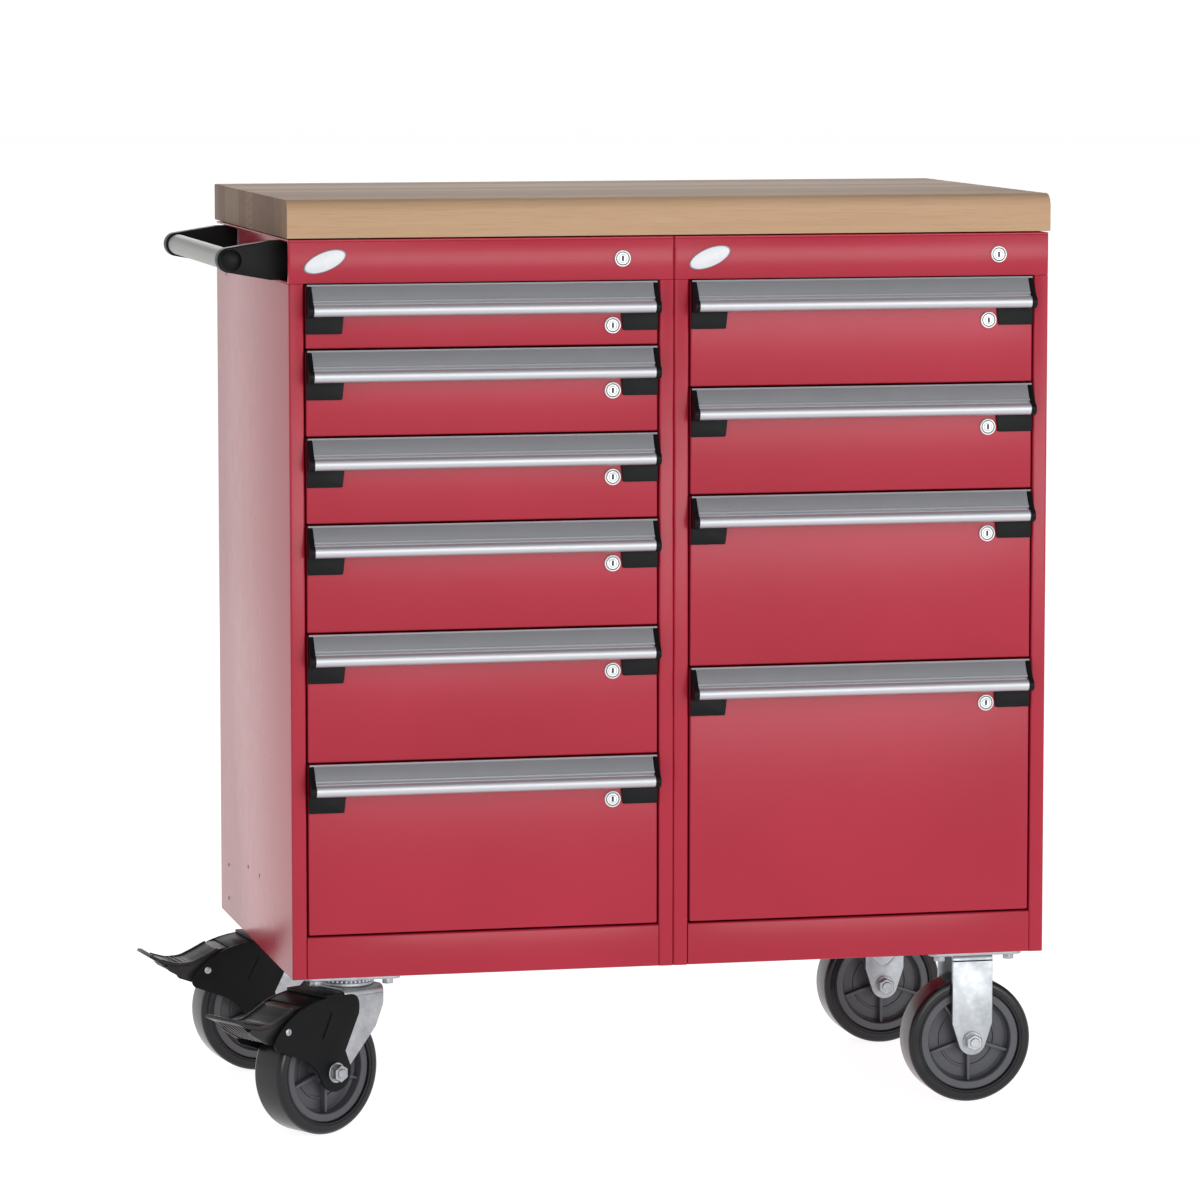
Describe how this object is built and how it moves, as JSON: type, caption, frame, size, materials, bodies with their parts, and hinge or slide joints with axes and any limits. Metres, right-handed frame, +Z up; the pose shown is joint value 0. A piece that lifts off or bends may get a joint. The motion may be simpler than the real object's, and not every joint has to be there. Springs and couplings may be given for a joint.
{
  "type": "rolling tool chest",
  "caption": "Rolling steel tool chest: two banks of locking full-extension drawers under a butcher-block top, with a push handle, braked swivel casters and rigid casters.",
  "frame": {"origin": "middle of the whole chest's footprint, on the floor", "axes": "+X to the right as seen from the drawer fronts, +Y to the back, +Z up"},
  "size_m": [1.0332, 0.5824, 1.1001],
  "materials": {
    "red_paint": "satin powder coat with a fine texture",
    "wood": "oiled butcher block",
    "aluminium": "satin anodised extrusion",
    "black_plastic": "fine grained moulding",
    "zinc": "zinc plated pressing",
    "lock_chrome": "bright plated lock",
    "tyre": "moulded dark polyurethane",
    "wheel_core": "grey moulded nylon",
    "badge": "blank white plate"
  },
  "bodies": {
    "root": {"work_top": "wood", "left_cabinet_shell": "red_paint", "left_top_rail": "red_paint", "left_name_plate": "badge", "right_cabinet_shell": "red_paint", "right_top_rail": "red_paint", "right_name_plate": "badge", "push_handle_bracket_front": "black_plastic", "push_handle_bracket_rear": "black_plastic", "push_handle_tube": "aluminium", "front_left_caster_plate": "zinc", "rear_left_caster_plate": "zinc", "front_right_caster_fork": "zinc", "front_right_caster_axle": "zinc", "rear_right_caster_fork": "zinc", "rear_right_caster_axle": "zinc"},
    "left_main_lock": {"left_main_lock_plug": "lock_chrome"},
    "left_drawer_1": {"left_drawer_1": "red_paint", "left_drawer_1_pull": "aluminium"},
    "left_drawer_1_lock": {"left_drawer_1_lock_plug": "lock_chrome"},
    "left_drawer_2": {"left_drawer_2": "red_paint", "left_drawer_2_pull": "aluminium"},
    "left_drawer_2_lock": {"left_drawer_2_lock_plug": "lock_chrome"},
    "left_drawer_3": {"left_drawer_3": "red_paint", "left_drawer_3_pull": "aluminium"},
    "left_drawer_3_lock": {"left_drawer_3_lock_plug": "lock_chrome"},
    "left_drawer_4": {"left_drawer_4": "red_paint", "left_drawer_4_pull": "aluminium"},
    "left_drawer_4_lock": {"left_drawer_4_lock_plug": "lock_chrome"},
    "left_drawer_5": {"left_drawer_5": "red_paint", "left_drawer_5_pull": "aluminium"},
    "left_drawer_5_lock": {"left_drawer_5_lock_plug": "lock_chrome"},
    "left_drawer_6": {"left_drawer_6": "red_paint", "left_drawer_6_pull": "aluminium"},
    "left_drawer_6_lock": {"left_drawer_6_lock_plug": "lock_chrome"},
    "right_main_lock": {"right_main_lock_plug": "lock_chrome"},
    "right_drawer_1": {"right_drawer_1": "red_paint", "right_drawer_1_pull": "aluminium"},
    "right_drawer_1_lock": {"right_drawer_1_lock_plug": "lock_chrome"},
    "right_drawer_2": {"right_drawer_2": "red_paint", "right_drawer_2_pull": "aluminium"},
    "right_drawer_2_lock": {"right_drawer_2_lock_plug": "lock_chrome"},
    "right_drawer_3": {"right_drawer_3": "red_paint", "right_drawer_3_pull": "aluminium"},
    "right_drawer_3_lock": {"right_drawer_3_lock_plug": "lock_chrome"},
    "right_drawer_4": {"right_drawer_4": "red_paint", "right_drawer_4_pull": "aluminium"},
    "right_drawer_4_lock": {"right_drawer_4_lock_plug": "lock_chrome"},
    "front_left_swivel": {"front_left_caster_fork": "zinc", "front_left_caster_axle": "zinc", "front_left_brake_cover": "black_plastic"},
    "front_left_wheel": {"front_left_caster_wheel": "tyre"},
    "front_left_pedal": {"front_left_brake_pedal": "black_plastic"},
    "rear_left_swivel": {"rear_left_caster_fork": "zinc", "rear_left_caster_axle": "zinc", "rear_left_brake_cover": "black_plastic"},
    "rear_left_wheel": {"rear_left_caster_wheel": "tyre"},
    "rear_left_pedal": {"rear_left_brake_pedal": "black_plastic"},
    "front_right_wheel": {"front_right_caster_wheel": "tyre"},
    "rear_right_wheel": {"rear_right_caster_wheel": "tyre"}
  },
  "joints": [
    {"name": "lock_left_main", "type": "hinge", "parent": "root", "child": "left_main_lock", "pos_m": [-0.00451, -0.24218, 1.02885], "axis": [0, 1, 0], "range_deg": [0, 90]},
    {"name": "drawer_left_1", "type": "slide", "parent": "root", "child": "left_drawer_1", "axis": [0, -1, 0], "range_m": [0, 0.43]},
    {"name": "lock_left_1", "type": "hinge", "parent": "left_drawer_1", "child": "left_drawer_1_lock", "pos_m": [-0.01651, -0.24218, 0.95115], "axis": [0, 1, 0], "range_deg": [0, 90]},
    {"name": "drawer_left_2", "type": "slide", "parent": "root", "child": "left_drawer_2", "axis": [0, -1, 0], "range_m": [0, 0.43]},
    {"name": "lock_left_2", "type": "hinge", "parent": "left_drawer_2", "child": "left_drawer_2_lock", "pos_m": [-0.01651, -0.24218, 0.87495], "axis": [0, 1, 0], "range_deg": [0, 90]},
    {"name": "drawer_left_3", "type": "slide", "parent": "root", "child": "left_drawer_3", "axis": [0, -1, 0], "range_m": [0, 0.43]},
    {"name": "lock_left_3", "type": "hinge", "parent": "left_drawer_3", "child": "left_drawer_3_lock", "pos_m": [-0.01651, -0.24218, 0.77335], "axis": [0, 1, 0], "range_deg": [0, 90]},
    {"name": "drawer_left_4", "type": "slide", "parent": "root", "child": "left_drawer_4", "axis": [0, -1, 0], "range_m": [0, 0.43]},
    {"name": "lock_left_4", "type": "hinge", "parent": "left_drawer_4", "child": "left_drawer_4_lock", "pos_m": [-0.01651, -0.24218, 0.67175], "axis": [0, 1, 0], "range_deg": [0, 90]},
    {"name": "drawer_left_5", "type": "slide", "parent": "root", "child": "left_drawer_5", "axis": [0, -1, 0], "range_m": [0, 0.43]},
    {"name": "lock_left_5", "type": "hinge", "parent": "left_drawer_5", "child": "left_drawer_5_lock", "pos_m": [-0.01651, -0.24218, 0.54475], "axis": [0, 1, 0], "range_deg": [0, 90]},
    {"name": "drawer_left_6", "type": "slide", "parent": "root", "child": "left_drawer_6", "axis": [0, -1, 0], "range_m": [0, 0.43]},
    {"name": "lock_left_6", "type": "hinge", "parent": "left_drawer_6", "child": "left_drawer_6_lock", "pos_m": [-0.01651, -0.24218, 0.39235], "axis": [0, 1, 0], "range_deg": [0, 90]},
    {"name": "lock_right_main", "type": "hinge", "parent": "root", "child": "right_main_lock", "pos_m": [0.45269, -0.24218, 1.02885], "axis": [0, 1, 0], "range_deg": [0, 90]},
    {"name": "drawer_right_1", "type": "slide", "parent": "root", "child": "right_drawer_1", "axis": [0, -1, 0], "range_m": [0, 0.43]},
    {"name": "lock_right_1", "type": "hinge", "parent": "right_drawer_1", "child": "right_drawer_1_lock", "pos_m": [0.44069, -0.24218, 0.95115], "axis": [0, 1, 0], "range_deg": [0, 90]},
    {"name": "drawer_right_2", "type": "slide", "parent": "root", "child": "right_drawer_2", "axis": [0, -1, 0], "range_m": [0, 0.43]},
    {"name": "lock_right_2", "type": "hinge", "parent": "right_drawer_2", "child": "right_drawer_2_lock", "pos_m": [0.44069, -0.24218, 0.82415], "axis": [0, 1, 0], "range_deg": [0, 90]},
    {"name": "drawer_right_3", "type": "slide", "parent": "root", "child": "right_drawer_3", "axis": [0, -1, 0], "range_m": [0, 0.43]},
    {"name": "lock_right_3", "type": "hinge", "parent": "right_drawer_3", "child": "right_drawer_3_lock", "pos_m": [0.44069, -0.24218, 0.69715], "axis": [0, 1, 0], "range_deg": [0, 90]},
    {"name": "drawer_right_4", "type": "slide", "parent": "root", "child": "right_drawer_4", "axis": [0, -1, 0], "range_m": [0, 0.43]},
    {"name": "lock_right_4", "type": "hinge", "parent": "right_drawer_4", "child": "right_drawer_4_lock", "pos_m": [0.44069, -0.24218, 0.49395], "axis": [0, 1, 0], "range_deg": [0, 90]},
    {"name": "swivel_front_left", "type": "hinge", "parent": "root", "child": "front_left_swivel", "pos_m": [-0.32341, -0.17138, 0.1842], "axis": [0, 0, 1], "continuous": true},
    {"name": "wheel_front_left", "type": "hinge", "parent": "front_left_swivel", "child": "front_left_wheel", "pos_m": [-0.36411, -0.19488, 0.0762], "axis": [-0.5, 0.866, 0], "continuous": true},
    {"name": "brake_pedal_front_left", "type": "hinge", "parent": "front_left_swivel", "child": "front_left_pedal", "pos_m": [-0.42647, -0.23088, 0.1332], "axis": [0.5, -0.866, 0], "range_deg": [0, 18]},
    {"name": "swivel_rear_left", "type": "hinge", "parent": "root", "child": "rear_left_swivel", "pos_m": [-0.32341, 0.22042, 0.1842], "axis": [0, 0, 1], "continuous": true},
    {"name": "wheel_rear_left", "type": "hinge", "parent": "rear_left_swivel", "child": "rear_left_wheel", "pos_m": [-0.36995, 0.21388, 0.0762], "axis": [-0.1392, 0.9903, 0], "continuous": true},
    {"name": "brake_pedal_rear_left", "type": "hinge", "parent": "rear_left_swivel", "child": "rear_left_pedal", "pos_m": [-0.44125, 0.20386, 0.1332], "axis": [0.1392, -0.9903, 0], "range_deg": [0, 18]},
    {"name": "wheel_front_right", "type": "hinge", "parent": "root", "child": "front_right_wheel", "pos_m": [0.43869, -0.17138, 0.0762], "axis": [0, 1, 0], "continuous": true},
    {"name": "wheel_rear_right", "type": "hinge", "parent": "root", "child": "rear_right_wheel", "pos_m": [0.43869, 0.22042, 0.0762], "axis": [0, 1, 0], "continuous": true}
  ]
}
